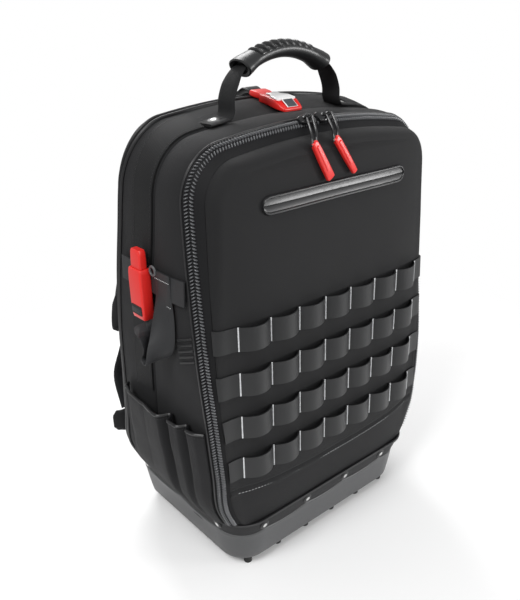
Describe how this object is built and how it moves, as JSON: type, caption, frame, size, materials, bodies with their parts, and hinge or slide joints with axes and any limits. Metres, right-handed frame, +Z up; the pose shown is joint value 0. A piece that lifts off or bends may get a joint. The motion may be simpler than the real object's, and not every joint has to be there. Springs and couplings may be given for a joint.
{
  "type": "tool backpack",
  "caption": "Black fabric tool backpack on a grey moulded tub base, with webbing loops on the front, red buckles and zip pulls, and a carrying handle.",
  "frame": {"origin": "on the ground under the middle of the whole object's box", "axes": "+Z up, +Y towards the back panel and the carrying straps, +X to the bag's right as its front is seen"},
  "size_m": [0.3806, 0.2546, 0.5635],
  "materials": {
    "bag_nylon": "matt charcoal-black coated nylon with a fine twill",
    "black_webbing": "black woven webbing with a slight sheen",
    "tub_plastic": "mid-grey moulded plastic with a fine grain",
    "trim_plastic": "black ribbed trim band",
    "black_plastic": "satin to glossy black moulded plastic",
    "red_plastic": "bright red moulded plastic with a satin surface",
    "pale_plastic": "white glossy plastic",
    "zip_coil": "black nylon coil on black tape, with grey glints on the teeth",
    "rivet_steel": "bright nickel-plated rivet heads"
  },
  "bodies": {
    "bag": {"front_lid": "bag_nylon", "lid_edge": "bag_nylon", "main_zip": "zip_coil", "bag_body": "bag_nylon", "rear_gusset": "bag_nylon", "rear_zip": "zip_coil", "back_panel": "bag_nylon", "base_tub": "tub_plastic", "rim_band": "trim_plastic", "rim_rivet_01": "rivet_steel", "rim_rivet_02": "rivet_steel", "rim_rivet_03": "rivet_steel", "rim_rivet_04": "rivet_steel", "rim_rivet_05": "rivet_steel", "rim_rivet_06": "rivet_steel", "rim_rivet_07": "rivet_steel", "rim_rivet_08": "rivet_steel", "rim_rivet_09": "rivet_steel", "rim_rivet_10": "rivet_steel", "rim_rivet_11": "rivet_steel", "rim_rivet_12": "rivet_steel", "webbing_row_1": "black_webbing", "webbing_row_2": "black_webbing", "webbing_row_3": "black_webbing", "webbing_row_4": "black_webbing", "front_pocket_zip": "black_plastic", "handle_grip": "black_plastic", "handle_leg_left": "black_webbing", "handle_rivet_left": "rivet_steel", "handle_leg_right": "black_webbing", "handle_rivet_right": "rivet_steel", "slider_left": "black_plastic", "slider_right": "black_plastic", "shoulder_webbing_left": "black_webbing", "side_strap_left": "black_webbing", "side_pocket_left": "bag_nylon", "shoulder_webbing_right": "black_webbing", "side_strap_right": "black_webbing", "side_pocket_right": "bag_nylon", "side_buckle": "red_plastic", "side_buckle_tongue": "red_plastic", "side_slack_webbing": "black_webbing", "top_buckle": "red_plastic", "top_buckle_plate": "pale_plastic", "top_buckle_insert": "red_plastic", "top_strap_front": "black_webbing", "top_strap_rear": "black_webbing", "shoulder_strap_left": "bag_nylon", "strap_adjuster_left": "black_plastic", "lower_strap_left": "black_webbing", "foot_wing_left": "bag_nylon", "shoulder_strap_right": "bag_nylon", "strap_adjuster_right": "black_plastic", "lower_strap_right": "black_webbing", "foot_wing_right": "bag_nylon"},
    "pull_left": {"puller_left": "black_plastic", "pull_grip_left": "red_plastic"},
    "pull_right": {"puller_right": "black_plastic", "pull_grip_right": "red_plastic"}
  },
  "joints": [
    {"name": "pull_left_swing", "type": "hinge", "parent": "bag", "child": "pull_left", "pos_m": [-0.00856, -0.08945, 0.49572], "axis": [-1, 0, 0], "range_deg": [0, 150]},
    {"name": "pull_right_swing", "type": "hinge", "parent": "bag", "child": "pull_right", "pos_m": [0.01844, -0.08945, 0.49584], "axis": [-1, 0, 0], "range_deg": [0, 150]}
  ]
}
